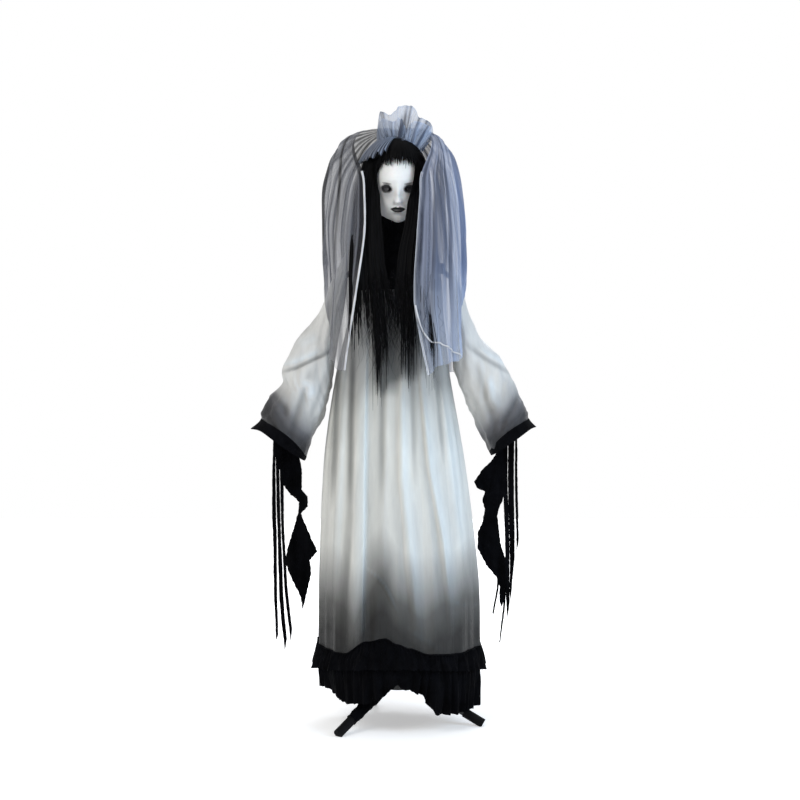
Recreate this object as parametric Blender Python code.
"""Animated bride figure on a plug-together stand, in metres, +Z up.

The origin is on the floor on the pole's axis. The figure faces -Y, and left means -X,
the left side of a viewer who stands in front of it.
"""
import math

import bmesh
import bpy
from mathutils import Matrix, Vector

# Clearances and overruns
GAP = 0.0003
RUNNING_CLEARANCE = 0.0006
CLOTH_CLEARANCE = 0.0006
CUT_OVERRUN = 0.004

# Counts
ROUND_SEGMENTS = 16
FINE_SEGMENTS = 20
TUBE_SEGMENTS = 12
SMOOTH_ANGLE = math.radians(35.0)
PARALLEL_ANGLE = math.radians(20.0)

# Stand
POLE_RADIUS = 0.0127
POLE_WALL = 0.0012
POLE_JOINT_HEIGHT = 0.58
COUPLER_LENGTH = 0.090
COUPLER_WALL = 0.003
HUB_HEIGHT = 0.128
HUB_RADIUS = 0.034
HUB_BODY_HEIGHT = 0.062
HUB_SOCKET_DEPTH = 0.040
HUB_SOCKET_REACH = 0.052
HUB_SOCKET_WALL = 0.0035
HUB_FLOOR = 0.008
LEG_COUNT = 3
LEG_RADIUS = 0.0110
LEG_SPREAD = 0.233
LEG_START = 0.024
FIRST_LEG_ANGLE = math.radians(-12.0)
FOOT_RADIUS = 0.0135
FOOT_LENGTH = 0.048
FOOT_SOLE = 0.010
WRAP_RADIUS = 0.0185
WRAP_START = 0.080

# Upper body drive, placed from the shoulders down
SHOULDER_HEIGHT = 1.290
COLLAR_RADIUS = 0.021
COLLAR_HEIGHT = 0.018
CASE_DROP_HEIGHT = 0.330
CASE_BOTTOM = SHOULDER_HEIGHT - CASE_DROP_HEIGHT
POLE_RISE = 0.092
POLE_TOP = CASE_BOTTOM + POLE_RISE
CASE_HEIGHT = 0.205
CASE_WIDTH = 0.134
CASE_DEPTH = 0.088
CASE_WALL = 0.0028
CASE_BEVEL = 0.010
TORSO_MODULE = 0.0025
TORSO_GEAR_TEETH = 24
TORSO_PINION_TEETH = 8
TORSO_GEAR_THICKNESS = 0.009
TORSO_GEAR_RISE = 0.050
TORSO_GEAR_BOTTOM = CASE_BOTTOM + TORSO_GEAR_RISE
TORSO_MOTOR_RADIUS = 0.0150
TORSO_MOTOR_LENGTH = 0.060
TORSO_MOTOR_GAP = 0.008
SHAFT_RADIUS = 0.003
ADDENDUM_SHARE = 0.80
DEDENDUM_SHARE = 1.20
ROOT_THICKNESS_SHARE = 0.55
TIP_THICKNESS_SHARE = 0.22
SPEAKER_RADIUS = 0.026
SPEAKER_DEPTH = 0.016
SPEAKER_RISE = 0.155
BOARD_WIDTH = 0.025
BOARD_HEIGHT = 0.060
BOARD_THICKNESS = 0.0016
BOARD_SIDE = 0.026
SCREW_HEAD_RADIUS = 0.0038
SCREW_HEAD_HEIGHT = 0.0022
SCREW_SHANK_RADIUS = 0.0016
SCREW_INSET = 0.016

# Battery box on the back of the case
BATTERY_RADIUS = 0.00725
BATTERY_LENGTH = 0.0505
BATTERY_COUNT = 3
BATTERY_PITCH = 0.0165
BOX_WALL = 0.0020
BOX_DEPTH = 0.022
BOX_RISE = 0.025
BOX_BOTTOM = CASE_BOTTOM + BOX_RISE
BOX_MARGIN = 0.0025
DOOR_THICKNESS = 0.0020
SWITCH_WIDTH = 0.007
SWITCH_HEIGHT = 0.0045
SWITCH_DEPTH = 0.0060
SWITCH_TRAVEL = 0.004
SWITCH_SIDE = 0.020
BUTTON_RADIUS = 0.007
BUTTON_LENGTH = 0.007
BUTTON_SIDE = 0.012
CONTROL_RISE = 0.160

# Spine, shoulders and neck
SPINE_RADIUS = 0.0090
SPINE_SOCKET_RADIUS = 0.0140
SPINE_SOCKET_HEIGHT = 0.022
SHOULDER_PIVOT = 0.118
SHOULDER_BAR_RADIUS = 0.0095
SHOULDER_BLOCK = 0.028
SHOULDER_EAR = 0.020
SHOULDER_SLOT = 0.0106
SHOULDER_PIN_RADIUS = 0.0040
NECK_CASE_RISE = 0.046
NECK_CASE_BOTTOM = SHOULDER_HEIGHT + NECK_CASE_RISE
NECK_CASE_HEIGHT = 0.078
NECK_CASE_RADIUS = 0.0400
NECK_CASE_WALL = 0.0025
NECK_MODULE = 0.0018
NECK_GEAR_TEETH = 20
NECK_PINION_TEETH = 8
NECK_GEAR_THICKNESS = 0.007
NECK_MOTOR_RADIUS = 0.0100
NECK_MOTOR_LENGTH = 0.040
NECK_SHAFT_RADIUS = 0.0045
NECK_GEAR_LIFT = 0.005
SPINE_INTO_NECK = 0.040

# Head
HEAD_RISE = 0.233
HEAD_HEIGHT = SHOULDER_HEIGHT + HEAD_RISE
HEAD_FORWARD = 0.012
HEAD_WIDTH = 0.150
HEAD_DEPTH = 0.190
HEAD_TALL = 0.232
HEAD_TILT = math.radians(14.0)
SHELL_WALL = 0.0030
SHELL_CLEARANCE = 0.0012
MASK_EDGE_ANGLE = math.radians(88.0)
EYE_RADIUS = 0.0130
EYE_SPACING = 0.0320
EYE_SLOT_WIDTH = 0.0270
EYE_SLOT_HEIGHT = 0.0110
BRACKET_WIDTH = 0.030
BRACKET_PLATE = 0.004
BRACKET_DROP_HEIGHT = 0.057
BRACKET_HEIGHT = HEAD_HEIGHT - BRACKET_DROP_HEIGHT
WIG_THICKNESS = 0.0120

# Cloth
CLOTH_WALL = 0.0024
YOKE_DROP_HEIGHT = 0.066
YOKE_RISE = 0.108
YOKE_BOTTOM = SHOULDER_HEIGHT - YOKE_DROP_HEIGHT
YOKE_TOP = SHOULDER_HEIGHT + YOKE_RISE
ARMHOLE_RADIUS = 0.040
SKIRT_FOLDS = 28
SKIRT_STEPS_PER_FOLD = 3
HEM_BOTTOM = 0.218
VEIL_FOLDS = 14
VEIL_STEPS_PER_FOLD = 4
VEIL_DEPTH = 0.310
VEIL_DROP_HEIGHT = 0.292
VEIL_NOTCH_HEIGHT = 0.028
VEIL_BOTTOM = SHOULDER_HEIGHT - VEIL_DROP_HEIGHT
VEIL_ARM_NOTCH = SHOULDER_HEIGHT - VEIL_NOTCH_HEIGHT
POUF_PLEATS = 5
ARM_ROD_RADIUS = 0.0075
TATTER_WALL = 0.0020
HANGER_PIN_RADIUS = 0.0030
HANGER_RADIUS = 0.0062
HANGER_LENGTH = 0.040
HANGER_OFFSET = 0.0110

# Outlines, as shares of the sizes above: each row runs from low to high
SKIRT_HALF_WIDTH = 0.232
SKIRT_HALF_DEPTH = 0.200
SKIRT_FOLD_SHARE = 0.045
HEM_RISE = 0.050
HEM_SHARES = (
    (0, 0.70), (9, 1.0), (22, 0.80), (42, 0.02), (65, 0.10), (90, 0.35), (135, 0.10),
    (180, 0.80), (225, 0.10), (270, 0.30), (290, 0.10), (315, 0.0), (338, 0.10), (352, 0.45),
)
# height, left, right, depth, fold
SKIRT_SHARES = (
    (0.0, 0.975, 1.0, 1.0, 1.0),
    (0.20, 0.965, 0.975, 0.88, 0.90),
    (0.52, 0.905, 0.810, 0.690, 0.70),
    (0.76, 0.765, 0.640, 0.575, 0.40),
    (0.88, 0.650, 0.585, 0.535, 0.28),
    (1.0, 0.5474, 0.5259, 0.51, 0.0),
)
RUFFLE_BOTTOM = 0.030
RUFFLE_RISE = 0.150
RUFFLE_FLARE = 0.020
# fall, flare, gather, inset
UPPER_RUFFLE_SHARES = ((0.0, 0.0, 0.0, 0.0), (0.5, 0.45, 0.12, 0.0), (1.0, 0.75, 0.25, 0.0))
LOWER_RUFFLE_SHARES = (
    (0.0, 0.0, 0.0, 1.0), (0.45, 0.20, 0.12, 1.5), (1.0, -0.20, 0.35, 1.0),
)
UPPER_BOTTOM_SHARES = ((0, 1.05), (90, 0.88), (180, 1.0), (270, 0.85))
LOWER_BOTTOM_SHARES = (
    (0, 0.76), (20, 0.62), (42, 0.37), (70, 0.45), (90, 0.52), (130, 0.25), (162, 0.20),
    (200, 0.30), (240, 0.20), (270, 0.15), (282, 0.10), (300, 0.13), (330, 0.36), (348, 0.70),
)
YOKE_HALF_WIDTH = 0.127
YOKE_HALF_DEPTH = 0.102
YOKE_COLUMNS = 28
ARMHOLE_DROP = 0.005
# height, left, right, depth
YOKE_SHARES = (
    (0.0, 1.0, 0.94, 1.0), (0.22, 1.02, 0.96, 1.0), (0.43, 0.83, 0.80, 0.84),
    (0.60, 0.38, 0.37, 0.45), (0.78, 0.12, 0.12, 0.20), (1.0, 0.0, 0.0, 0.0),
)

# Sleeves: top point, bottom point and depth of each ring, from shoulder to cuff edge
LEFT_ARM_REACH = 0.397
RIGHT_ARM_REACH = 0.404
ARM_DROP_HEIGHT = 0.600
ARM_TOP_RISE = 0.050
ARM_DROP_TOP = SHOULDER_HEIGHT + ARM_TOP_RISE
SLEEVE_HALF_DEPTH = 0.088
SLEEVE_COLUMNS = 16
LEFT_SLEEVE_SHARES = (
    (0.370, 0.003, 0.365, 0.167, 0.52), (0.465, 0.130, 0.395, 0.300, 0.59),
    (0.559, 0.283, 0.430, 0.425, 0.66), (0.655, 0.367, 0.460, 0.533, 0.73),
    (0.750, 0.447, 0.477, 0.625, 0.80), (0.832, 0.558, 0.498, 0.706, 0.85),
    (0.830, 0.630, 0.525, 0.767, 0.89), (0.915, 0.692, 0.570, 0.837, 0.93),
    (0.975, 0.758, 0.618, 0.908, 0.98), (0.980, 0.800, 0.662, 0.981, 1.00),
    (1.005, 0.833, 0.670, 0.992, 1.02),
)
RIGHT_SLEEVE_SHARES = (
    (0.365, 0.003, 0.360, 0.167, 0.52), (0.445, 0.158, 0.375, 0.308, 0.59),
    (0.512, 0.317, 0.383, 0.442, 0.66), (0.590, 0.422, 0.394, 0.550, 0.73),
    (0.712, 0.500, 0.425, 0.642, 0.80), (0.790, 0.583, 0.475, 0.708, 0.85),
    (0.838, 0.650, 0.518, 0.767, 0.89), (0.880, 0.713, 0.559, 0.830, 0.93),
    (0.910, 0.763, 0.605, 0.895, 0.98), (0.922, 0.800, 0.648, 0.953, 1.00),
    (0.948, 0.828, 0.658, 0.967, 1.02),
)
LEFT_ROD_SHARES = (
    (0.380, 0.120), (0.5125, 0.300), (0.780, 0.558), (0.790, 0.633), (0.8915, 0.701), (0.9515, 0.768),
)
RIGHT_ROD_SHARES = (
    (0.380, 0.130), (0.455, 0.342), (0.500, 0.442), (0.7375, 0.592), (0.795, 0.662), (0.8558, 0.720),
    (0.8858, 0.770),
)
LEFT_HANG_SHARES = (0.8625, 0.825)
RIGHT_HANG_SHARES = (0.815, 0.828)

# Tatters: outline points, outward and down from the hanger
TATTER_WIDTH = 0.112
TATTER_LENGTH = 0.648
LEFT_TATTER_SHARES = (
    (0.06, 0.0), (-0.06, 0.0), (-0.38, 0.036), (-0.59, 0.144), (-0.63, 0.354), (-0.74, 0.385),
    (-0.54, 0.442), (-1.0, 0.547), (-0.74, 0.692), (-0.67, 0.811), (-0.36, 0.680), (-0.31, 0.561),
    (-0.44, 0.442), (-0.34, 0.385), (-0.28, 0.342), (-0.22, 0.100), (-0.19, 0.214), (-0.23, 0.677),
    (-0.34, 0.931), (-0.16, 1.0), (-0.107, 0.714), (-0.098, 0.188), (-0.067, 0.368), (-0.056, 0.881),
    (0.045, 0.881), (0.067, 0.600), (0.054, 0.214), (0.094, 0.368), (0.12, 0.583), (0.19, 0.319),
    (0.19, 0.059),
)
RIGHT_TATTER_SHARES = (
    (0.06, 0.0), (-0.06, 0.0), (-0.32, 0.060), (-0.44, 0.130), (-0.58, 0.165), (-0.96, 0.249),
    (-0.70, 0.360),
    (-0.88, 0.490), (-0.57, 0.615), (-0.295, 0.808), (-0.27, 0.674), (-0.32, 0.4915), (-0.42, 0.360),
    (-0.27, 0.257), (-0.23, 0.272), (-0.19, 0.404), (-0.23, 0.643), (-0.32, 0.931), (-0.254, 0.931),
    (-0.134, 0.674), (-0.13, 0.365), (-0.094, 0.519), (-0.107, 0.782), (-0.036, 0.805),
    (0.018, 0.596), (0.0045, 0.272), (0.04, 0.488), (0.07, 0.720), (0.134, 0.643), (0.138, 0.210),
    (0.17, 0.056),
)

# Head, hair and veil
MASK_ROWS = 22
SKULL_ROWS = 12
MASK_COLUMNS = 19
SKULL_COLUMNS = 10
HEAD_POLE_ANGLE = math.radians(82.0)
HEAD_STEP_ANGLE = math.radians(1.5)
FRONT_CROWD_SHARE = 0.55
MIDDLE_CROWD_SHARE = 0.70
WIG_SEAT = 0.0042
WIG_CLEARANCE = 0.0026
JAW_NARROW_SHARE = 0.24
NECK_HOLE_RADIUS = 0.0470
NECK_HOLE_RISE = 0.116
NECK_HOLE_TOP = NECK_CASE_BOTTOM + NECK_HOLE_RISE
BROW_HEIGHT = 0.0270
NOSE_HEIGHT = -0.0330
MOUTH_HEIGHT = -0.0560
CHIN_HEIGHT = -0.0930
CHEEK_SIDE = 0.0400
# across, up, width, height and swell of each feature
FACE_SWELLS = (
    (0.0, BROW_HEIGHT, 0.0420, 0.0100, 0.0030),
    (EYE_SPACING, 0.0030, 0.0150, 0.0120, -0.0075),
    (-EYE_SPACING, 0.0030, 0.0150, 0.0120, -0.0075),
    (0.0, NOSE_HEIGHT, 0.0120, 0.0100, 0.0110),
    (0.0, NOSE_HEIGHT / 3, 0.0085, 0.0200, 0.0075),
    (0.0, MOUTH_HEIGHT, 0.0200, 0.0095, 0.0045),
    (0.0, CHIN_HEIGHT, 0.0180, 0.0140, 0.0060),
    (CHEEK_SIDE, NOSE_HEIGHT / 2, 0.0150, 0.0150, 0.0025),
    (-CHEEK_SIDE, NOSE_HEIGHT / 2, 0.0150, 0.0150, 0.0025),
)
EYE_SET_BACK = 0.0680
WIG_COLUMNS = 24
WIG_CROWN_SHARE = 0.75
WIG_TOP_ANGLE = math.radians(86.0)
# degrees round from the front, and the hairline's degrees above the head's middle
HAIRLINE_ANGLES = ((0, 50), (35, 44), (60, 12), (90, -20), (135, -42), (180, -46),
                   (225, -42), (270, -20), (300, 12), (325, 44))
WIG_ROWS = 7
LOCK_LENGTH = 0.690
LOCK_TOP_SHARE = 0.26724
LOCK_TOP = HEAD_HEIGHT + HEAD_TALL * LOCK_TOP_SHARE
LOCK_REACH = 0.140
LOCK_HALF_WIDTH = 0.032
LOCK_FLAT_SHARE = 0.16
LOCK_COLUMNS = 10
# across, forward, down and half width of each step of a hanging lock
LEFT_LOCK_SHARES = (
    (-0.500, 0.43, 0.0, 0.62), (-0.630, 0.61, 0.123, 0.62), (-0.586, 0.77, 0.239, 0.75),
    (-0.486, 0.88, 0.384, 0.94), (-0.357, 0.95, 0.558, 1.0), (-0.257, 1.0, 0.775, 0.81),
    (-0.143, 0.99, 0.949, 0.40), (-0.100, 0.96, 1.0, 0.12),
)
RIGHT_LOCK_SHARES = (
    (0.471, 0.43, 0.0, 0.56), (0.557, 0.63, 0.123, 0.56), (0.443, 0.79, 0.254, 0.62),
    (0.329, 0.88, 0.384, 0.75), (0.243, 0.95, 0.558, 0.81), (0.186, 0.99, 0.775, 0.69),
    (0.157, 0.98, 0.920, 0.32), (0.143, 0.95, 0.957, 0.12),
)
VEIL_HALF_WIDTH = 0.211
VEIL_TOP_SHARE = 0.60776
VEIL_TOP = HEAD_HEIGHT + HEAD_TALL * VEIL_TOP_SHARE
VEIL_RIPPLE_SHARE = 0.020
VEIL_SQUARE_SHARE = 0.80
# height, left, right, depth, and the degrees of the left and right front edges
VEIL_SHARES = (
    (0.0, 0.975, 0.89, 1.0, 38, 20), (0.30, 1.0, 0.89, 1.0, 27, 9), (0.56, 1.0, 0.81, 0.93, 20, 13),
    (0.73, 0.93, 0.73, 0.86, 22, 16), (0.82, 0.86, 0.67, 0.80, 27, 20), (0.90, 0.75, 0.58, 0.68, 50, 42),
    (0.945, 0.64, 0.51, 0.55, 68, 62), (0.985, 0.42, 0.36, 0.35, 80, 75), (1.0, 0.14, 0.14, 0.14, 85, 85),
)
VEIL_HEM_SHARES = (
    (0, 0.0), (45, 0.0), (62, 1.0), (118, 1.0), (135, 0.0), (225, 0.0), (242, 1.0), (298, 1.0), (312, 0.0),
)
POUF_HALF_WIDTH = 0.097
POUF_ROOT_SHARE = 0.3319
POUF_BASE = HEAD_HEIGHT + HEAD_TALL * POUF_ROOT_SHARE
POUF_RISE = 0.150
POUF_BASE_SHARE = 0.32
POUF_FORWARD = 0.030
POUF_PLEAT_DEPTH = 0.008
POUF_ROWS = 4
# across and up of the fan's upper edge, from left to right
POUF_SHARES = (
    (-0.97, 0.42), (-0.90, 0.60), (-0.57, 0.77), (-0.31, 0.90), (0.0, 0.985), (0.41, 0.985),
    (0.54, 0.81), (0.77, 0.67), (1.0, 0.60), (0.98, 0.42),
)


def clear_scene():
    for old in list(bpy.data.objects):
        bpy.data.objects.remove(old, do_unlink=True)


def material(name, color, roughness, metallic=0.0):
    made = bpy.data.materials.new(name)
    made.use_nodes = True
    shader = made.node_tree.nodes["Principled BSDF"]
    shader.inputs["Base Color"].default_value = (*color, 1.0)
    shader.inputs["Roughness"].default_value = roughness
    shader.inputs["Metallic"].default_value = metallic
    made.diffuse_color = (*color, 1.0)
    return made


def make_materials():
    return {
        "black_plastic": material("black_plastic", (0.02, 0.02, 0.022), 0.45),
        "grey_plastic": material("grey_plastic", (0.25, 0.25, 0.26), 0.50),
        "steel": material("steel", (0.55, 0.55, 0.56), 0.35, 1.0),
        "black_steel": material("black_steel", (0.015, 0.015, 0.017), 0.35, 0.3),
        "rubber": material("rubber", (0.015, 0.015, 0.015), 0.75),
        "nylon": material("nylon", (0.80, 0.79, 0.74), 0.45),
        "board": material("board", (0.02, 0.16, 0.06), 0.50),
        "battery": material("battery", (0.06, 0.06, 0.07), 0.35),
        "vinyl": material("vinyl", (0.82, 0.81, 0.78), 0.45),
        "eye": material("eye", (0.10, 0.10, 0.11), 0.20),
        "hair": material("hair", (0.008, 0.008, 0.009), 0.55),
        "black_cloth": material("black_cloth", (0.012, 0.013, 0.015), 0.85),
        "white_satin": material("white_satin", (0.72, 0.72, 0.69), 0.50),
        "tulle": material("tulle", (0.45, 0.46, 0.52), 0.70),
    }


def finish_mesh(name, mesh_data, look, smooth=True):
    """Turns a bmesh in world coordinates into a closed, outward-facing object."""
    bmesh.ops.recalc_face_normals(mesh_data, faces=mesh_data.faces)
    mesh = bpy.data.meshes.new(name)
    mesh_data.to_mesh(mesh)
    mesh_data.free()
    if smooth:
        mesh.shade_smooth()
        mesh.set_sharp_from_angle(angle=SMOOTH_ANGLE)
    mesh.materials.append(look)
    made = bpy.data.objects.new(name, mesh)
    bpy.context.scene.collection.objects.link(made)
    return made


def joint_empty(name, pivot):
    made = bpy.data.objects.new(name, None)
    made.empty_display_size = POLE_RADIUS
    made.location = pivot
    bpy.context.scene.collection.objects.link(made)
    return made


def attach(pieces, empty):
    """Moves each piece's origin onto the joint's axis and hangs it on the joint's empty."""
    for piece in pieces:
        piece.data.transform(Matrix.Translation(-empty.location))
        piece.parent = empty


def grid_solid(name, outer, inner, closed, look):
    """A sheet solid between two grids of points, closed round its rows or open."""
    mesh_data = bmesh.new()
    layers = [[[mesh_data.verts.new(p) for p in row] for row in grid] for grid in (outer, inner)]
    rows = len(outer)
    columns = len(outer[0])
    steps = columns if closed else columns - 1
    for layer in layers:
        for i in range(rows - 1):
            for j in range(steps):
                k = (j + 1) % columns
                mesh_data.faces.new((layer[i][j], layer[i][k], layer[i + 1][k], layer[i + 1][j]))
    for i in (0, rows - 1):
        for j in range(steps):
            k = (j + 1) % columns
            mesh_data.faces.new((layers[0][i][j], layers[0][i][k], layers[1][i][k], layers[1][i][j]))
    if not closed:
        for j in (0, columns - 1):
            for i in range(rows - 1):
                mesh_data.faces.new(
                    (layers[0][i][j], layers[0][i + 1][j], layers[1][i + 1][j], layers[1][i][j])
                )
    return finish_mesh(name, mesh_data, look)


def grid_normals(grid, closed, outward):
    """Unit normals of a grid of points, turned to the side where outward points."""
    rows = len(grid)
    columns = len(grid[0])
    normals = []
    for i in range(rows):
        line = []
        for j in range(columns):
            up = grid[min(i + 1, rows - 1)][j] - grid[max(i - 1, 0)][j]
            if closed:
                along = grid[i][(j + 1) % columns] - grid[i][j - 1]
            else:
                along = grid[i][min(j + 1, columns - 1)] - grid[i][max(j - 1, 0)]
            normal = along.cross(up).normalized()
            if normal.dot(outward(grid[i][j])) < 0:
                normal = -normal
            line.append(normal)
        normals.append(line)
    return normals


def cloth_solid(name, grid, wall, closed, outward, look):
    """A cloth of the given wall whose outer side is the grid."""
    normals = grid_normals(grid, closed, outward)
    inner = [
        [point - normal * wall for point, normal in zip(row, line)]
        for row, line in zip(grid, normals)
    ]
    return grid_solid(name, grid, inner, closed, look)


def lathe(name, profile, base, axis, look, segments=ROUND_SEGMENTS, start=0.0):
    """Turns a closed profile of (radius, height) points round an axis through base."""
    turn = Vector((0, 0, 1)).rotation_difference(axis).to_matrix()
    mesh_data = bmesh.new()
    rings = []
    for k in range(segments):
        angle = start + 2 * math.pi * k / segments
        spoke = Vector((math.cos(angle), math.sin(angle), 0))
        rings.append([(spoke * r, h) for r, h in profile])
    centre = {}
    columns = []
    for ring in rings:
        column = []
        for index, (spoke, height) in enumerate(ring):
            if profile[index][0] == 0:
                if index not in centre:
                    centre[index] = mesh_data.verts.new(base + turn @ Vector((0, 0, height)))
                column.append(centre[index])
            else:
                column.append(mesh_data.verts.new(base + turn @ (spoke + Vector((0, 0, height)))))
        columns.append(column)
    count = len(profile)
    for k in range(segments):
        one, two = columns[k], columns[(k + 1) % segments]
        for i in range(count):
            j = (i + 1) % count
            corners = []
            for vert in (one[i], one[j], two[j], two[i]):
                if vert not in corners:
                    corners.append(vert)
            if len(corners) > 2:
                mesh_data.faces.new(corners)
    return finish_mesh(name, mesh_data, look)


def disc_profile(radius, low, high):
    return [(0, low), (radius, low), (radius, high), (0, high)]


def ring_profile(bore, radius, low, high):
    return [(bore, low), (radius, low), (radius, high), (bore, high)]


def tube_mesh(points, radii, segments, mesh_data, across=None, flat_shares=None):
    """Adds a closed tube through points; across sets the flattened direction of its section."""
    rings = []
    for i, point in enumerate(points):
        ahead = points[min(i + 1, len(points) - 1)] - points[max(i - 1, 0)]
        ahead.normalize()
        side = across if across is not None else Vector((0, 1, 0))
        if across is None and abs(ahead.dot(side)) > math.cos(PARALLEL_ANGLE):
            side = Vector((1, 0, 0))
        first = (side - ahead * side.dot(ahead)).normalized()
        second = ahead.cross(first)
        share = flat_shares[i] if flat_shares else 1
        ring = []
        for k in range(segments):
            angle = 2 * math.pi * k / segments
            offset = first * (math.cos(angle) * radii[i] * share) + second * (math.sin(angle) * radii[i])
            ring.append(mesh_data.verts.new(point + offset))
        rings.append(ring)
    for low, high in zip(rings, rings[1:]):
        for k in range(segments):
            j = (k + 1) % segments
            mesh_data.faces.new((low[k], low[j], high[j], high[k]))
    mesh_data.faces.new(rings[0])
    mesh_data.faces.new(list(reversed(rings[-1])))


def rod(name, points, radius, look, segments=TUBE_SEGMENTS):
    mesh_data = bmesh.new()
    points = [Vector(point) for point in points]
    tube_mesh(points, [radius] * len(points), segments, mesh_data)
    return finish_mesh(name, mesh_data, look)


def box(name, low, high, look, bevel=0.0, bevel_steps=2):
    mesh_data = bmesh.new()
    bmesh.ops.create_cube(mesh_data, size=1)
    low, high = Vector(low), Vector(high)
    for vert in mesh_data.verts:
        share = vert.co + Vector((0.5, 0.5, 0.5))
        vert.co = Vector(low[i] + (high[i] - low[i]) * share[i] for i in range(3))
    if bevel > 0:
        upright = [edge for edge in mesh_data.edges if edge.verts[0].co.xy == edge.verts[1].co.xy]
        bmesh.ops.bevel(
            mesh_data, geom=upright, offset=bevel, segments=bevel_steps, affect="EDGES", profile=0.5
        )
    return finish_mesh(name, mesh_data, look)


def outline_solid(name, outline, back, wall, look):
    """A flat outline of (x, z) points, given a wall along +Y from back."""
    mesh_data = bmesh.new()
    face = mesh_data.faces.new([mesh_data.verts.new((x, back, z)) for x, z in outline])
    grown = bmesh.ops.extrude_face_region(mesh_data, geom=[face])
    moved = [item for item in grown["geom"] if isinstance(item, bmesh.types.BMVert)]
    bmesh.ops.translate(mesh_data, vec=Vector((0, wall, 0)), verts=moved)
    bmesh.ops.triangulate(mesh_data, faces=[f for f in mesh_data.faces if len(f.verts) > 4])
    return finish_mesh(name, mesh_data, look, smooth=False)


def boolean(piece, other, operation="DIFFERENCE"):
    """Applies a Boolean with another object, which is then removed."""
    other.hide_render = True
    other.display_type = "WIRE"
    change = piece.modifiers.new(operation.title(), "BOOLEAN")
    change.operation = operation
    change.object = other
    change.solver = "EXACT"
    bpy.context.view_layer.update()
    graph = bpy.context.evaluated_depsgraph_get()
    result = bpy.data.meshes.new_from_object(piece.evaluated_get(graph))
    piece.modifiers.clear()
    look = piece.data.materials[0]
    piece.data = result
    result.materials.clear()
    result.materials.append(look)
    for face in result.polygons:
        face.material_index = 0
    bpy.data.objects.remove(other, do_unlink=True)
    return piece


def cutter_rod(start, end, radius, look, segments=ROUND_SEGMENTS):
    return rod("cutter", [start, end], radius, look, segments)


def gear(name, teeth, module, bottom, thickness, bore, centre, look, phase=0.0):
    """A spur gear with straight-flanked teeth; bore 0 leaves it solid."""
    pitch = module * teeth / 2
    tip, root = pitch + ADDENDUM_SHARE * module, pitch - DEDENDUM_SHARE * module
    step = 2 * math.pi / teeth
    mesh_data = bmesh.new()
    outline = []
    for k in range(teeth):
        middle = phase + k * step
        for radius, share in (
            (root, -ROOT_THICKNESS_SHARE), (tip, -TIP_THICKNESS_SHARE),
            (tip, TIP_THICKNESS_SHARE), (root, ROOT_THICKNESS_SHARE),
        ):
            angle = middle + share * step / 2
            outline.append((radius * math.cos(angle), radius * math.sin(angle)))
    floors = []
    for height in (bottom, bottom + thickness):
        rim = [mesh_data.verts.new((centre[0] + x, centre[1] + y, height)) for x, y in outline]
        inside = []
        if bore > 0:
            for x, y in outline:
                angle = math.atan2(y, x)
                place = (centre[0] + bore * math.cos(angle), centre[1] + bore * math.sin(angle), height)
                inside.append(mesh_data.verts.new(place))
        floors.append((rim, inside))
    count = len(outline)
    for i in range(count):
        j = (i + 1) % count
        mesh_data.faces.new((floors[0][0][i], floors[0][0][j], floors[1][0][j], floors[1][0][i]))
        if bore > 0:
            mesh_data.faces.new((floors[0][1][i], floors[0][1][j], floors[1][1][j], floors[1][1][i]))
            for rim, inside in floors:
                mesh_data.faces.new((rim[i], rim[j], inside[j], inside[i]))
    if bore == 0:
        for height, (rim, _) in zip((bottom, bottom + thickness), floors):
            middle = mesh_data.verts.new((centre[0], centre[1], height))
            for i in range(count):
                mesh_data.faces.new((rim[i], rim[(i + 1) % count], middle))
    return finish_mesh(name, mesh_data, look, smooth=False)


def leg_direction(index):
    angle = FIRST_LEG_ANGLE + 2 * math.pi * index / LEG_COUNT
    outward = Vector((math.cos(angle), math.sin(angle), 0))
    fall = (HUB_HEIGHT - FOOT_RADIUS) / (LEG_SPREAD - LEG_START)
    return outward, (outward - Vector((0, 0, fall))).normalized()


def leg_point(index, distance):
    """A point of a leg's axis, at a distance from where the axis starts in the hub."""
    outward, along = leg_direction(index)
    return outward * LEG_START + Vector((0, 0, HUB_HEIGHT)) + along * distance


def leg_length():
    drop = HUB_HEIGHT - FOOT_RADIUS
    return math.hypot(LEG_SPREAD - LEG_START, drop)


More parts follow.
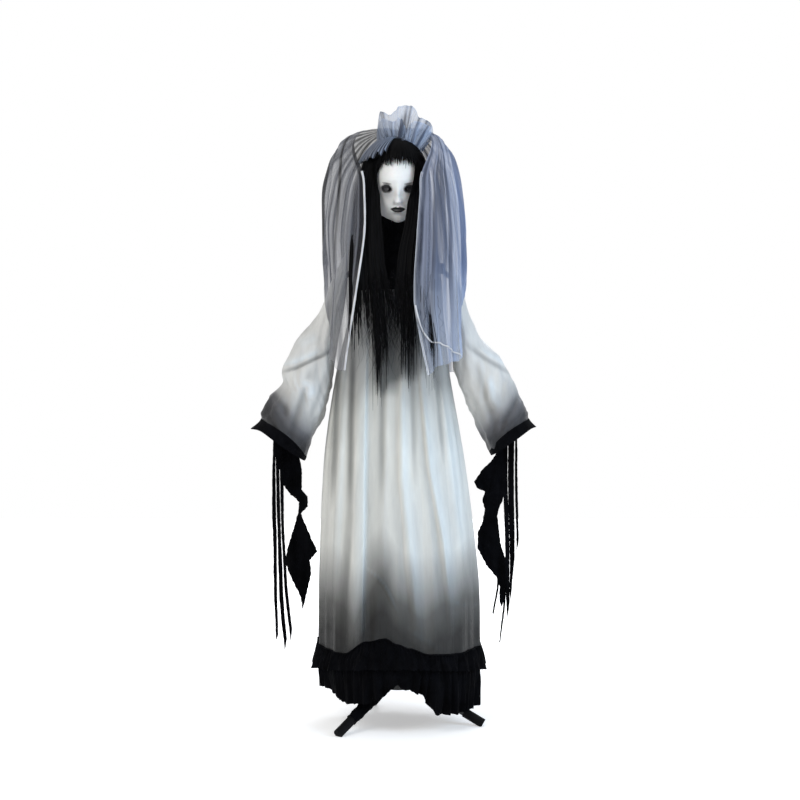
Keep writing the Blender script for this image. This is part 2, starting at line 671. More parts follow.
def make_stand(looks):
    pieces = []
    names = ("right", "rear", "front_left")
    socket_radius = LEG_RADIUS + HUB_SOCKET_WALL
    hub_low = HUB_HEIGHT - HUB_BODY_HEIGHT / 2
    hub_high = HUB_HEIGHT + HUB_BODY_HEIGHT / 2
    hub = lathe(
        "base_hub", disc_profile(HUB_RADIUS, hub_low, hub_high), Vector(), Vector((0, 0, 1)),
        looks["black_plastic"], FINE_SEGMENTS,
    )
    for index in range(LEG_COUNT):
        outward, along = leg_direction(index)
        reach = leg_point(index, HUB_SOCKET_REACH)
        start = leg_point(index, 0)
        boolean(hub, rod("socket", [start, reach], socket_radius, looks["black_plastic"]), "UNION")
    for index in range(LEG_COUNT):
        outward, along = leg_direction(index)
        seat = leg_point(index, HUB_SOCKET_REACH - HUB_SOCKET_DEPTH)
        beyond = leg_point(index, HUB_SOCKET_REACH + CUT_OVERRUN)
        boolean(hub, cutter_rod(seat, beyond, LEG_RADIUS + GAP, looks["black_plastic"], TUBE_SEGMENTS))
    floor = Vector((0, 0, hub_low + HUB_FLOOR))
    above = Vector((0, 0, hub_high + CUT_OVERRUN))
    boolean(hub, cutter_rod(floor, above, POLE_RADIUS + GAP, looks["black_plastic"]))
    pieces.append(hub)
    for index, name in enumerate(names):
        outward, along = leg_direction(index)
        start = leg_point(index, HUB_SOCKET_REACH - HUB_SOCKET_DEPTH + GAP)
        foot_start = leg_length() - FOOT_LENGTH
        tube_end = leg_point(index, foot_start + FOOT_LENGTH - FOOT_SOLE - GAP)
        pieces.append(rod("leg_tube_" + name, [start, tube_end], LEG_RADIUS, looks["black_steel"]))
        foot_end = leg_point(index, leg_length() + FOOT_RADIUS)
        foot = rod(
            "foot_cap_" + name,
            [leg_point(index, foot_start), leg_point(index, leg_length() - FOOT_SOLE / 2), foot_end],
            FOOT_RADIUS, looks["rubber"], ROUND_SEGMENTS,
        )
        bore_end = leg_point(index, foot_start + FOOT_LENGTH - FOOT_SOLE)
        mouth = leg_point(index, foot_start - CUT_OVERRUN)
        boolean(foot, cutter_rod(mouth, bore_end, LEG_RADIUS + GAP, looks["rubber"], TUBE_SEGMENTS))
        middle = leg_point(index, leg_length())
        reach = Vector((FOOT_LENGTH, FOOT_LENGTH, 0)) * 2
        low = Vector((middle.x, middle.y, -FOOT_LENGTH)) - reach
        high = Vector((middle.x, middle.y, 0)) + reach
        boolean(foot, box("cutter", low, high, looks["rubber"]))
        pieces.append(foot)
    front = LEG_COUNT - 1
    wrap_bore = LEG_RADIUS / math.cos(math.pi / TUBE_SEGMENTS) + GAP
    wrap_ring = ring_profile(
        wrap_bore, WRAP_RADIUS, WRAP_START, leg_length() - FOOT_LENGTH - GAP
    )
    along = leg_direction(front)[1]
    pieces.append(lathe(
        "leg_wrap", wrap_ring, leg_point(front, 0), along, looks["black_cloth"], TUBE_SEGMENTS,
    ))
    return pieces


def make_pole(looks):
    pieces = []
    up = Vector((0, 0, 1))
    foot = HUB_HEIGHT - HUB_BODY_HEIGHT / 2 + HUB_FLOOR + GAP
    bore = POLE_RADIUS - POLE_WALL
    lower = ring_profile(bore, POLE_RADIUS, foot, POLE_JOINT_HEIGHT - GAP / 2)
    upper = ring_profile(bore, POLE_RADIUS, POLE_JOINT_HEIGHT + GAP / 2, POLE_TOP)
    pieces.append(lathe("pole_lower", lower, Vector(), up, looks["black_steel"]))
    pieces.append(lathe("pole_upper", upper, Vector(), up, looks["black_steel"]))
    outer = POLE_RADIUS + GAP + COUPLER_WALL
    low = POLE_JOINT_HEIGHT - COUPLER_LENGTH / 2
    high = POLE_JOINT_HEIGHT + COUPLER_LENGTH / 2
    coupler = ring_profile(POLE_RADIUS + GAP, outer, low, high)
    pieces.append(lathe("pole_coupler", coupler, Vector(), up, looks["black_plastic"]))
    collar_top = CASE_BOTTOM - GAP
    collar = ring_profile(POLE_RADIUS + GAP, COLLAR_RADIUS, collar_top - COLLAR_HEIGHT, collar_top)
    pieces.append(lathe("support_collar", collar, Vector(), up, looks["steel"]))
    pieces.append(gear(
        "torso_gear", TORSO_GEAR_TEETH, TORSO_MODULE, TORSO_GEAR_BOTTOM, TORSO_GEAR_THICKNESS,
        POLE_RADIUS + GAP, (0, 0), looks["nylon"],
        phase=math.pi + math.pi / TORSO_GEAR_TEETH,
    ))
    return pieces


def case_box(name, low, high, wall, look):
    """A rounded upright casing with a hollow of one wall less."""
    shell = box(name, low, high, look, CASE_BEVEL)
    step = Vector((wall, wall, wall))
    inside = box("cutter", Vector(low) + step, Vector(high) - step, look, CASE_BEVEL - wall)
    return shell, inside


def make_drive_case(looks):
    """Two half shells round the pole's top, parted in the plane of the pole's axis."""
    look = looks["black_plastic"]
    pieces = []
    half = CASE_WIDTH / 2
    deep = CASE_DEPTH / 2
    top = CASE_BOTTOM + CASE_HEIGHT
    for name, side in (("drive_case_front", -1), ("drive_case_rear", 1)):
        shell, inside = case_box(name, (-half, -deep, CASE_BOTTOM), (half, deep, top), CASE_WALL, look)
        boolean(shell, inside)
        pole_hole = cutter_rod(
            (0, 0, CASE_BOTTOM - CUT_OVERRUN), (0, 0, CASE_BOTTOM + CASE_WALL + CUT_OVERRUN),
            POLE_RADIUS + RUNNING_CLEARANCE, look,
        )
        boolean(shell, pole_hole)
        spine_hole = cutter_rod(
            (0, 0, top - CASE_WALL - CUT_OVERRUN), (0, 0, top + CUT_OVERRUN), SPINE_RADIUS + GAP, look,
        )
        boolean(shell, spine_hole)
        if side < 0:
            low, high = (-half - CUT_OVERRUN, -GAP / 2), (half + CUT_OVERRUN, deep + CUT_OVERRUN)
        else:
            low, high = (-half - CUT_OVERRUN, -deep - CUT_OVERRUN), (half + CUT_OVERRUN, GAP / 2)
        boolean(shell, box(
            "cutter", (*low, CASE_BOTTOM - CUT_OVERRUN), (*high, top + CUT_OVERRUN), look
        ))
        pieces.append(shell)
    return pieces


def mount_case_parts(case_pieces, looks):
    """Bosses, seats and holes of the case, and what is held in it."""
    front, rear = case_pieces
    half = CASE_WIDTH / 2
    deep = CASE_DEPTH / 2
    top = CASE_BOTTOM + CASE_HEIGHT
    inside_front = -deep + CASE_WALL
    pieces = []
    motor_x = -TORSO_MODULE * (TORSO_GEAR_TEETH + TORSO_PINION_TEETH) / 2
    motor_low = TORSO_GEAR_BOTTOM + TORSO_GEAR_THICKNESS + TORSO_MOTOR_GAP
    motor = lathe(
        "torso_motor", disc_profile(TORSO_MOTOR_RADIUS, motor_low, motor_low + TORSO_MOTOR_LENGTH),
        Vector((motor_x, 0, 0)), Vector((0, 0, 1)), looks["steel"],
    )
    pieces.append(motor)
    bracket_low = motor_low + TORSO_MOTOR_LENGTH / 3
    bracket_high = bracket_low + TORSO_MOTOR_LENGTH / 3
    cradle = box(
        "cradle", (motor_x - TORSO_MOTOR_RADIUS, GAP, bracket_low),
        (motor_x + TORSO_MOTOR_RADIUS, deep - CASE_WALL / 2, bracket_high), looks["black_plastic"],
    )
    boolean(rear, cradle, "UNION")
    boolean(rear, cutter_rod(
        (motor_x, 0, bracket_low - CUT_OVERRUN), (motor_x, 0, bracket_high + CUT_OVERRUN),
        TORSO_MOTOR_RADIUS + GAP, looks["black_plastic"], FINE_SEGMENTS,
    ))
    speaker_profile = [
        (0, 0), (SPEAKER_RADIUS, 0), (SPEAKER_RADIUS, SPEAKER_DEPTH / 4),
        (SPEAKER_RADIUS / 2, SPEAKER_DEPTH / 2), (SPEAKER_RADIUS / 2, SPEAKER_DEPTH), (0, SPEAKER_DEPTH),
    ]
    speaker_z = CASE_BOTTOM + SPEAKER_RISE
    pieces.append(lathe(
        "speaker", speaker_profile, Vector((BOARD_SIDE, inside_front + GAP, speaker_z)),
        Vector((0, 1, 0)), looks["black_plastic"],
    ))
    hole_pitch = SPEAKER_RADIUS / 2
    for index in range(-1, 2):
        centre_x = BOARD_SIDE + index * hole_pitch
        boolean(front, cutter_rod(
            (centre_x, -deep - CUT_OVERRUN, speaker_z), (centre_x, inside_front + GAP / 2, speaker_z),
            hole_pitch / 3, looks["black_plastic"], TUBE_SEGMENTS,
        ))
    board_low = CASE_BOTTOM + CASE_BEVEL
    board_side = half - CASE_BEVEL
    board_back = deep - CASE_WALL - GAP
    pieces.append(box(
        "circuit_board",
        (board_side - BOARD_WIDTH, board_back - BOARD_THICKNESS, board_low),
        (board_side, board_back, board_low + BOARD_HEIGHT), looks["board"],
    ))
    screw_high = top - SCREW_INSET
    screw_low = CASE_BOTTOM + SCREW_INSET
    places = ((half - SCREW_INSET, screw_low), (SCREW_INSET - half, screw_high))
    for index, (x, z) in enumerate(places):
        post = cutter_rod(
            (x, -deep + CASE_WALL / 2, z), (x, -GAP / 2, z), SCREW_HEAD_RADIUS, looks["black_plastic"],
            TUBE_SEGMENTS,
        )
        boolean(front, post, "UNION")
        boolean(front, cutter_rod(
            (x, -deep - CUT_OVERRUN, z), (x, CUT_OVERRUN, z), SCREW_SHANK_RADIUS + GAP,
            looks["black_plastic"], TUBE_SEGMENTS,
        ))
        profile = [
            (0, -SCREW_HEAD_HEIGHT - GAP), (SCREW_HEAD_RADIUS, -SCREW_HEAD_HEIGHT - GAP),
            (SCREW_HEAD_RADIUS, -GAP), (SCREW_SHANK_RADIUS, -GAP),
            (SCREW_SHANK_RADIUS, deep - GAP), (0, deep - GAP),
        ]
        pieces.append(lathe(
            f"case_screw_{index + 1}", profile, Vector((x, -deep, z)), Vector((0, 1, 0)),
            looks["steel"], TUBE_SEGMENTS,
        ))
    return pieces


def make_battery_box(looks):
    """An open-backed box for upright cells, the cells, and the lid that closes it."""
    deep = CASE_DEPTH / 2
    low_y = deep + GAP
    high_y = low_y + BOX_DEPTH
    half = BATTERY_COUNT * BATTERY_PITCH / 2 + BOX_WALL
    high_z = BOX_BOTTOM + BATTERY_LENGTH + 2 * (BOX_WALL + BOX_MARGIN)
    look = looks["black_plastic"]
    holder = box("battery_box", (-half, low_y, BOX_BOTTOM), (half, high_y, high_z), look)
    boolean(holder, box(
        "cutter", (-half + BOX_WALL, low_y + BOX_WALL, BOX_BOTTOM + BOX_WALL),
        (half - BOX_WALL, high_y + CUT_OVERRUN, high_z - BOX_WALL), look,
    ))
    pieces = [holder]
    middle_y = low_y + BOX_WALL + GAP + BATTERY_RADIUS
    for index in range(BATTERY_COUNT):
        x = (index - (BATTERY_COUNT - 1) / 2) * BATTERY_PITCH
        base = Vector((x, middle_y, BOX_BOTTOM + BOX_WALL + GAP))
        nub = BATTERY_RADIUS / 3
        neck = BATTERY_LENGTH - nub / 2
        profile = [
            (0, 0), (BATTERY_RADIUS, 0), (BATTERY_RADIUS, neck), (nub, neck),
            (nub, BATTERY_LENGTH), (0, BATTERY_LENGTH),
        ]
        pieces.append(lathe(
            f"battery_{index + 1}", profile, base, Vector((0, 0, 1)), looks["battery"], TUBE_SEGMENTS,
        ))
    lid = box(
        "battery_lid", (-half, high_y + GAP, BOX_BOTTOM), (half, high_y + GAP + DOOR_THICKNESS, high_z),
        look,
    )
    pieces.append(lid)
    return pieces


def make_controls(case_pieces, looks):
    """The slide switch and the sprung button, in their slots through the rear case."""
    rear = case_pieces[1]
    deep = CASE_DEPTH / 2
    z = CASE_BOTTOM + CONTROL_RISE
    wall_in = deep - CASE_WALL
    look = looks["black_plastic"]
    slot = RUNNING_CLEARANCE
    left = -SWITCH_SIDE - SWITCH_WIDTH / 2
    right = -SWITCH_SIDE + SWITCH_WIDTH / 2
    low, high = z - SWITCH_HEIGHT / 2, z + SWITCH_HEIGHT / 2
    boolean(rear, box(
        "cutter", (left - slot, wall_in - CUT_OVERRUN, low - slot / 2),
        (right + SWITCH_TRAVEL + slot, deep + CUT_OVERRUN, high + slot / 2), look,
    ))
    switch = box(
        "power_switch", (left, wall_in - SWITCH_DEPTH / 2, low), (right, deep + SWITCH_DEPTH / 2, high),
        looks["grey_plastic"],
    )
    start = (BUTTON_SIDE, wall_in - CUT_OVERRUN, z)
    boolean(rear, cutter_rod(start, (BUTTON_SIDE, deep + CUT_OVERRUN, z), BUTTON_RADIUS + slot, look))
    button = lathe(
        "try_button", disc_profile(BUTTON_RADIUS, -BUTTON_LENGTH / 2, BUTTON_LENGTH / 2),
        Vector((BUTTON_SIDE, deep, z)), Vector((0, 1, 0)), looks["grey_plastic"],
    )
    attach([switch], joint_empty("switch_slide", (-SWITCH_SIDE, deep, z)))
    attach([button], joint_empty("button_press", (BUTTON_SIDE, deep, z)))
    return [switch, button]


def shoulder_point(side):
    return Vector((side * SHOULDER_PIVOT, 0, SHOULDER_HEIGHT))


def make_spine(looks):
    pieces = []
    up = Vector((0, 0, 1))
    case_top = CASE_BOTTOM + CASE_HEIGHT
    spine_low = case_top - SPINE_SOCKET_HEIGHT
    spine = rod(
        "spine_rod", [(0, 0, spine_low), (0, 0, NECK_CASE_BOTTOM + SPINE_INTO_NECK)], SPINE_RADIUS,
        looks["black_steel"], ROUND_SEGMENTS,
    )
    pieces.append(spine)
    reach = SHOULDER_PIVOT - SHOULDER_BLOCK / 2
    bar = rod(
        "shoulder_bar", [(-reach, 0, SHOULDER_HEIGHT), (reach, 0, SHOULDER_HEIGHT)],
        SHOULDER_BAR_RADIUS, looks["black_plastic"], ROUND_SEGMENTS,
    )
    hub = rod(
        "hub", [(0, 0, SHOULDER_HEIGHT - SHOULDER_BLOCK / 2), (0, 0, SHOULDER_HEIGHT + SHOULDER_BLOCK / 2)],
        SPINE_SOCKET_RADIUS, looks["black_plastic"], ROUND_SEGMENTS,
    )
    boolean(bar, hub, "UNION")
    half = SHOULDER_BLOCK / 2
    for side in (-1, 1):
        pivot = shoulder_point(side)
        block = box(
            "block", pivot - Vector((half, half, half)), pivot + Vector((half, half, half)),
            looks["black_plastic"],
        )
        boolean(bar, block, "UNION")
        inner = pivot.x - side * (SHOULDER_EAR / 2 + RUNNING_CLEARANCE * 2)
        outer = pivot.x + side * (half + CUT_OVERRUN)
        slot = SHOULDER_SLOT / 2
        boolean(bar, box(
            "cutter", (min(inner, outer), -slot, SHOULDER_HEIGHT - half - CUT_OVERRUN),
            (max(inner, outer), slot, SHOULDER_HEIGHT + half + CUT_OVERRUN), looks["black_plastic"],
        ))
        boolean(bar, rod(
            "pin", [pivot - Vector((0, half - CUT_OVERRUN, 0)), pivot + Vector((0, half - CUT_OVERRUN, 0))],
            SHOULDER_PIN_RADIUS, looks["black_plastic"],
        ), "UNION")
    boolean(bar, cutter_rod(
        (0, 0, SHOULDER_HEIGHT - SHOULDER_BLOCK), (0, 0, SHOULDER_HEIGHT + SHOULDER_BLOCK),
        SPINE_RADIUS + GAP, looks["black_plastic"],
    ))
    pieces.append(bar)
    return pieces


def make_neck(looks):
    """The neck case and its drive, and what turns with the head on its shaft."""
    up = Vector((0, 0, 1))
    low = NECK_CASE_BOTTOM
    top = low + NECK_CASE_HEIGHT
    inner = NECK_CASE_RADIUS - NECK_CASE_WALL
    floor_top = low + 2 * NECK_CASE_WALL
    cup = [
        (SPINE_RADIUS + GAP, low), (NECK_CASE_RADIUS, low), (NECK_CASE_RADIUS, top), (inner, top),
        (inner, floor_top), (SPINE_RADIUS + GAP, floor_top),
    ]
    torso = [lathe("neck_case", cup, Vector(), up, looks["black_plastic"], FINE_SEGMENTS)]
    cover = ring_profile(
        NECK_SHAFT_RADIUS + RUNNING_CLEARANCE, NECK_CASE_RADIUS, top + GAP, top + GAP + NECK_CASE_WALL
    )
    torso.append(lathe("neck_cover", cover, Vector(), up, looks["black_plastic"], FINE_SEGMENTS))
    distance = NECK_MODULE * (NECK_GEAR_TEETH + NECK_PINION_TEETH) / 2
    motor_base = Vector((0, distance, floor_top + GAP))
    torso.append(lathe(
        "neck_motor", disc_profile(NECK_MOTOR_RADIUS, 0, NECK_MOTOR_LENGTH), motor_base, up,
        looks["steel"],
    ))
    gear_low = floor_top + GAP + NECK_MOTOR_LENGTH + NECK_GEAR_LIFT
    shaft_low = low + SPINE_INTO_NECK + GAP
    shaft = rod(
        "neck_shaft", [(0, 0, shaft_low), (0, 0, BRACKET_HEIGHT + BRACKET_PLATE + GAP)],
        NECK_SHAFT_RADIUS, looks["steel"], ROUND_SEGMENTS,
    )
    wheel = gear(
        "neck_gear", NECK_GEAR_TEETH, NECK_MODULE, gear_low, NECK_GEAR_THICKNESS,
        NECK_SHAFT_RADIUS + GAP, (0, 0), looks["nylon"],
        phase=math.pi / 2 + math.pi / NECK_GEAR_TEETH,
    )
    pinion = gear(
        "neck_pinion", NECK_PINION_TEETH, NECK_MODULE, gear_low, NECK_GEAR_THICKNESS, 0,
        (0, distance), looks["nylon"], phase=-math.pi / 2,
    )
    shaft_top = floor_top + GAP + NECK_MOTOR_LENGTH
    stub = rod(
        "stub", [(0, distance, shaft_top + GAP), (0, distance, gear_low + NECK_GEAR_THICKNESS / 2)],
        SHAFT_RADIUS, looks["nylon"],
    )
    boolean(pinion, stub, "UNION")
    attach([pinion], joint_empty("neck_pinion_axis", (0, distance, gear_low)))
    return torso, [shaft, wheel]


def make_torso_pinion(looks):
    distance = TORSO_MODULE * (TORSO_GEAR_TEETH + TORSO_PINION_TEETH) / 2
    pinion = gear(
        "torso_pinion", TORSO_PINION_TEETH, TORSO_MODULE, TORSO_GEAR_BOTTOM, TORSO_GEAR_THICKNESS, 0,
        (-distance, 0), looks["nylon"],
    )
    motor_low = TORSO_GEAR_BOTTOM + TORSO_GEAR_THICKNESS + TORSO_MOTOR_GAP
    stub = rod(
        "stub",
        [(-distance, 0, TORSO_GEAR_BOTTOM + TORSO_GEAR_THICKNESS / 2), (-distance, 0, motor_low - GAP)],
        SHAFT_RADIUS, looks["nylon"],
    )
    boolean(pinion, stub, "UNION")
    attach([pinion], joint_empty("torso_pinion_axis", (-distance, 0, TORSO_GEAR_BOTTOM)))
    return [pinion]


def blend_rows(table, share):
    """Reads a table of rows that start with a share of height, smoothly between its rows."""
    for low, high in zip(table, table[1:]):
        if share <= high[0]:
            part = (share - low[0]) / (high[0] - low[0])
            return [a + (b - a) * part for a, b in zip(low[1:], high[1:])]
    return list(table[-1][1:])


def round_table(table, angle):
    """Reads a closed table of (degrees, value) with eased steps between its entries."""
    degrees = math.degrees(angle) % 360
    rows = list(table) + [(table[0][0] + 360, table[0][1])]
    for (first, low), (last, high) in zip(rows, rows[1:]):
        if first <= degrees <= last:
            part = (degrees - first) / (last - first)
            ease = part * part * (3 - 2 * part)
            return low + (high - low) * ease
    return rows[0][1]


def oval_point(angle, left, right, deep, height):
    """A point of an oval section; the angle runs from the front round by the left."""
    wide = left if math.sin(angle) > 0 else right
    return Vector((-math.sin(angle) * wide, -math.cos(angle) * deep, height))


def away_from_pole(point):
    return Vector((point.x, point.y, 0))


def hem_height(angle):
    return HEM_BOTTOM + HEM_RISE * round_table(HEM_SHARES, angle)


def skirt_point(angle, share, grow=0.0):
    """A point of the skirt's outer side, at a share of the height from hem to yoke."""
    left, right, deep, fold = blend_rows(SKIRT_SHARES, share)
    low = hem_height(angle)
    height = low + (YOKE_BOTTOM - CLOTH_CLEARANCE - low) * share
    ripple = 1 + SKIRT_FOLD_SHARE * fold * math.cos(SKIRT_FOLDS * angle)
    return oval_point(
        angle, SKIRT_HALF_WIDTH * left * ripple + grow, SKIRT_HALF_WIDTH * right * ripple + grow,
        SKIRT_HALF_DEPTH * deep * ripple + grow, height,
    )


def round_angles(count):
    return [2 * math.pi * k / count for k in range(count)]


def make_skirt(looks):
    angles = round_angles(SKIRT_FOLDS * SKIRT_STEPS_PER_FOLD)
    grid = [[skirt_point(angle, row[0]) for angle in angles] for row in SKIRT_SHARES]
    return cloth_solid("skirt", grid, CLOTH_WALL, True, away_from_pole, looks["white_satin"])


def ruffle_rows(rows, table, inset, drop):
    """Rows of a gathered ruffle below the hem; inset keeps a lower tier inside an upper one."""
    angles = round_angles(SKIRT_FOLDS * SKIRT_STEPS_PER_FOLD)
    grid = []
    for fall, flare, gather, step in rows:
        line = []
        for index, angle in enumerate(angles):
            seam = skirt_point(angle, 0)
            bottom = RUFFLE_BOTTOM + RUFFLE_RISE * round_table(table, angle)
            height = seam.z - CLOTH_CLEARANCE - drop
            height += (bottom - height) * fall
            wave = gather * (1 if index % 2 else -1)
            spread = RUFFLE_FLARE * (flare + wave) - inset * step
            outward = Vector((seam.x, seam.y, 0)).normalized()
            place = Vector((seam.x, seam.y, 0)) + outward * spread
            line.append(Vector((place.x, place.y, height)))
        grid.append(line)
    return grid


def make_ruffles(looks):
    upper = ruffle_rows(UPPER_RUFFLE_SHARES, UPPER_BOTTOM_SHARES, 0.0, 0.0)
    step = CLOTH_WALL + CLOTH_CLEARANCE
    lower = ruffle_rows(LOWER_RUFFLE_SHARES, LOWER_BOTTOM_SHARES, step, step)
    return [
        cloth_solid("ruffle_upper", upper, CLOTH_WALL, True, away_from_pole, looks["black_cloth"]),
        cloth_solid("ruffle_lower", lower, CLOTH_WALL, True, away_from_pole, looks["black_cloth"]),
    ]


def make_yoke(looks):
    angles = round_angles(YOKE_COLUMNS)
    top_radius = NECK_CASE_RADIUS + CLOTH_CLEARANCE + CLOTH_WALL
    grid = []
    for share, left, right, deep in YOKE_SHARES:
        height = YOKE_BOTTOM + (YOKE_TOP - YOKE_BOTTOM) * share
        line = []
        for angle in angles:
            line.append(oval_point(
                angle, top_radius + (YOKE_HALF_WIDTH - top_radius) * left,
                top_radius + (YOKE_HALF_WIDTH - top_radius) * right,
                top_radius + (YOKE_HALF_DEPTH - top_radius) * deep, height,
            ))
        grid.append(line)
    yoke = cloth_solid("yoke", grid, CLOTH_WALL, True, away_from_pole, looks["black_cloth"])
    for side in (-1, 1):
        start = (side * SHOULDER_PIVOT / 2, 0, SHOULDER_HEIGHT - ARMHOLE_DROP)
        end = (side * SHOULDER_PIVOT * 2, 0, SHOULDER_HEIGHT - ARMHOLE_DROP)
        boolean(yoke, cutter_rod(start, end, ARMHOLE_RADIUS, looks["black_cloth"]))
    return [yoke]


def arm_point(side, across, down):
    """A point of an arm's outline, from shares of its reach and drop."""
    reach = LEFT_ARM_REACH if side < 0 else RIGHT_ARM_REACH
    return Vector((side * reach * across, 0, ARM_DROP_TOP - ARM_DROP_HEIGHT * down))


def sleeve_ring(station, wall, side):
    """One oval ring of a sleeve between its top and bottom points, as seen from the front."""
    top_x, top_z, bottom_x, bottom_z, deep = station
    top = arm_point(side, top_x, top_z)
    bottom = arm_point(side, bottom_x, bottom_z)
    centre = (top + bottom) / 2
    half = (top - bottom) / 2
    half = half.normalized() * (half.length - wall)
    depth = SLEEVE_HALF_DEPTH * deep - wall
    ring = []
    for k in range(SLEEVE_COLUMNS):
        angle = 2 * math.pi * k / SLEEVE_COLUMNS
        ring.append(centre + half * math.cos(angle) + Vector((0, depth * math.sin(angle), 0)))
    return ring


def make_arm(side, name, stations, pivot_shares, rod_shares, outline_shares, looks):
    """An arm's rod, sleeve and cuff, and the hanger and tatters that swing below."""
    outer = [sleeve_ring(station, 0.0, side) for station in stations]
    inner = [sleeve_ring(station, CLOTH_WALL, side) for station in stations]
    cuff_rows = []
    for grid in (outer, inner):
        edge, mouth = grid[-1], grid[-2]
        count = len(edge)
        shift = [(edge[k] - mouth[k]).normalized() * CLOTH_CLEARANCE for k in range(count)]
        cuff_rows.append([[mouth[k] + shift[k] for k in range(count)], edge])
    sleeve = grid_solid("sleeve_" + name, outer[:-1], inner[:-1], True, looks["white_satin"])
    cuff = grid_solid("cuff_" + name, cuff_rows[0], cuff_rows[1], True, looks["black_cloth"])
    pivot = shoulder_point(side)
    hang = arm_point(side, *pivot_shares)
    path = [pivot] + [arm_point(side, x, z) for x, z in rod_shares] + [hang]
    arm = rod("arm_rod_" + name, path, ARM_ROD_RADIUS, looks["black_steel"], TUBE_SEGMENTS)
    eye_half = SHOULDER_SLOT / 2 - RUNNING_CLEARANCE
    bore = SHOULDER_PIN_RADIUS + RUNNING_CLEARANCE
    eye = lathe(
        "eye", ring_profile(bore, SHOULDER_EAR / 2, -eye_half, eye_half), pivot, Vector((0, 1, 0)),
        looks["black_steel"],
    )
    trim = SHOULDER_BLOCK
    rod_half = eye_half - GAP
    for face in (-1, 1):
        low = pivot + Vector((-trim, min(face * rod_half, face * trim), -trim))
        high = pivot + Vector((trim, max(face * rod_half, face * trim), trim))
        boolean(arm, box("cutter", low, high, looks["black_steel"]))
    boolean(arm, cutter_rod(
        pivot - Vector((0, trim, 0)), pivot + Vector((0, trim, 0)), (bore + SHOULDER_EAR / 2) / 2,
        looks["black_steel"],
    ))
    boolean(arm, eye, "UNION")
    back = Vector((0, HANGER_OFFSET + HANGER_LENGTH, 0))
    boolean(arm, rod("pin", [hang, hang + back], HANGER_PIN_RADIUS, looks["black_steel"]), "UNION")
    arm.data.materials[0] = looks["black_steel"]
    ring = ring_profile(
        HANGER_PIN_RADIUS + RUNNING_CLEARANCE, HANGER_RADIUS, HANGER_OFFSET,
        HANGER_OFFSET + HANGER_LENGTH,
    )
    hanger = lathe("tatter_hanger_" + name, ring, hang, Vector((0, 1, 0)), looks["grey_plastic"])
    outline = []
    top = hang.z - HANGER_RADIUS - GAP
    for x, z in outline_shares:
        outline.append((hang.x + side * TATTER_WIDTH * x, top - TATTER_LENGTH * z))
    middle = hang.y + HANGER_OFFSET + HANGER_LENGTH / 2
    tatters = outline_solid("tatters_" + name, outline, middle, TATTER_WALL, looks["black_cloth"])
    attach([arm, sleeve, cuff], joint_empty("arm_pivot_" + name, pivot))
    attach([hanger, tatters], joint_empty("tatter_pivot_" + name, hang))
    return [arm, sleeve, cuff], [hanger, tatters]


def head_matrix():
    place = Matrix.Translation((0, -HEAD_FORWARD, HEAD_HEIGHT))
    return place @ Matrix.Rotation(HEAD_TILT, 4, "X")


def head_local(around, above, featured):
    """A point of the head in its own frame; around runs from the face round by the left."""
    across = -math.sin(around) * math.cos(above) * HEAD_WIDTH / 2
    deep = -math.cos(around) * math.cos(above) * HEAD_DEPTH / 2
    up = math.sin(above) * HEAD_TALL / 2
    if above < 0:
        across *= 1 - JAW_NARROW_SHARE * math.sin(-above) ** 2
    if featured and math.cos(around) > 0:
        for centre, height, wide, tall, swell in FACE_SWELLS:
            spread = ((across - centre) / wide) ** 2 + ((up - height) / tall) ** 2
            deep -= swell * math.exp(-spread) * math.cos(around)
    return Vector((across, deep, up))


def head_normal(around, above, featured):
    step = HEAD_STEP_ANGLE
    along = head_local(around + step, above, featured) - head_local(around - step, above, featured)
    up = head_local(around, above + step, featured) - head_local(around, above - step, featured)
    normal = along.cross(up).normalized()
    return normal if normal.dot(head_local(around, above, featured)) > 0 else -normal


def mask_angles():
    steps = [2 * k / (MASK_COLUMNS - 1) - 1 for k in range(MASK_COLUMNS)]
    return [MASK_EDGE_ANGLE * t * (FRONT_CROWD_SHARE + (1 - FRONT_CROWD_SHARE) * abs(t)) for t in steps]


def skull_angles():
    start = MASK_EDGE_ANGLE + 2 * GAP / (HEAD_WIDTH / 2)
    span = 2 * math.pi - 2 * start
    return [start + span * k / (SKULL_COLUMNS - 1) for k in range(SKULL_COLUMNS)]


def head_grid(angles, featured, grow, count=MASK_ROWS):
    """Rows of head points from crown to jaw, in the figure's frame, moved out by grow."""
    frame = head_matrix()
    turn = frame.to_3x3()
    rows = []
    for i in range(count):
        share = 1 - 2 * i / (count - 1)
        above = HEAD_POLE_ANGLE * share * (MIDDLE_CROWD_SHARE + (1 - MIDDLE_CROWD_SHARE) * share ** 2)
        line = []
        for around in angles:
            point = head_local(around, above, featured)
            line.append(frame @ point + turn @ head_normal(around, above, featured) * grow)
        rows.append(line)
    return rows


def closed_volume(name, grid, look):
    """A solid from a grid closed round its rows, with its two ends capped."""
    mesh_data = bmesh.new()
    layer = [[mesh_data.verts.new(point) for point in row] for row in grid]
    columns = len(grid[0])
    for low, high in zip(layer, layer[1:]):
        for j in range(columns):
            k = (j + 1) % columns
            mesh_data.faces.new((low[j], low[k], high[k], high[j]))
    for row, line in ((layer[0], grid[0]), (layer[-1], grid[-1])):
        centre = mesh_data.verts.new(sum(line, Vector()) / columns)
        for j in range(columns):
            mesh_data.faces.new((row[j], row[(j + 1) % columns], centre))
    return finish_mesh(name, mesh_data, look)


def inner_head(name, look):
    """The hollow inside the mask and skull, less a seat's gap."""
    angles = mask_angles() + skull_angles()
    return closed_volume(name, head_grid(angles, True, -SHELL_WALL - SHELL_CLEARANCE), look)


def bare_head(name, grow, look):
    """The closed outside of mask and skull together, moved out by grow."""
    return closed_volume(name, head_grid(mask_angles() + skull_angles(), True, grow), look)


